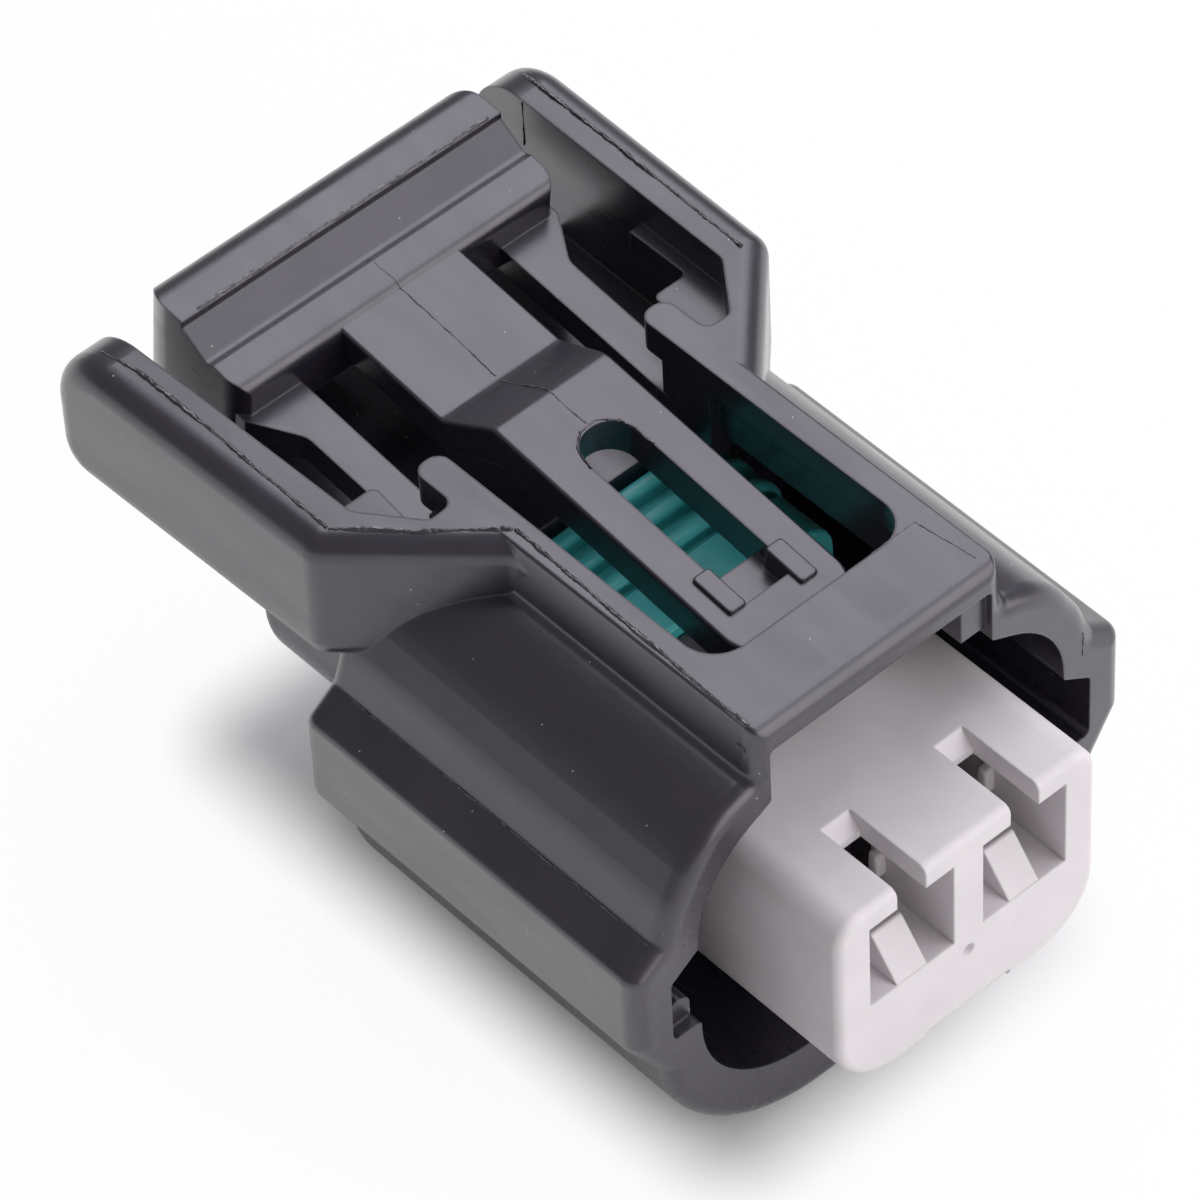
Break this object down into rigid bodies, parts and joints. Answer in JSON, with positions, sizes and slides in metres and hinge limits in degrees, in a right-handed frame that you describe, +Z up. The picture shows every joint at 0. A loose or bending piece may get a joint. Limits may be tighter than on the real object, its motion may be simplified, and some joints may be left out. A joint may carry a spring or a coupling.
{
  "type": "sealed automotive connector",
  "caption": "Sealed automotive connector socket: hood with guard wings and a press-down latch lever, rubber seal round its core and a sliding front holder.",
  "frame": {"origin": "middle of the length and width, at the level of the flat under the hood that it rests on", "axes": "+X is the way it is pushed onto its mate, +Y across it, +Z up towards the latch lever"},
  "size_m": [0.0294, 0.0196, 0.0182],
  "materials": {
    "black_plastic": "satin",
    "grey_plastic": "matt",
    "seal_rubber": "satin",
    "contact_metal": "tin plated",
    "wire_seal_rubber": "satin"
  },
  "bodies": {
    "shell": {"housing": "black_plastic", "peripheral_seal": "seal_rubber", "contact_right": "contact_metal", "contact_left": "contact_metal", "wire_seal_right": "wire_seal_rubber", "wire_seal_left": "wire_seal_rubber"},
    "lever": {"latch_lever": "black_plastic"},
    "holder": {"front_holder": "grey_plastic"}
  },
  "joints": [
    {"name": "latch_press", "type": "hinge", "parent": "shell", "child": "lever", "pos_m": [-0.00228, 0, 0.01425], "axis": [0, -1, 0], "range_deg": [0, 8], "stiffness_Nm_per_rad": 0.05},
    {"name": "holder_slide", "type": "slide", "parent": "shell", "child": "holder", "axis": [1, 0, 0], "range_m": [-0.0016, 0]}
  ]
}
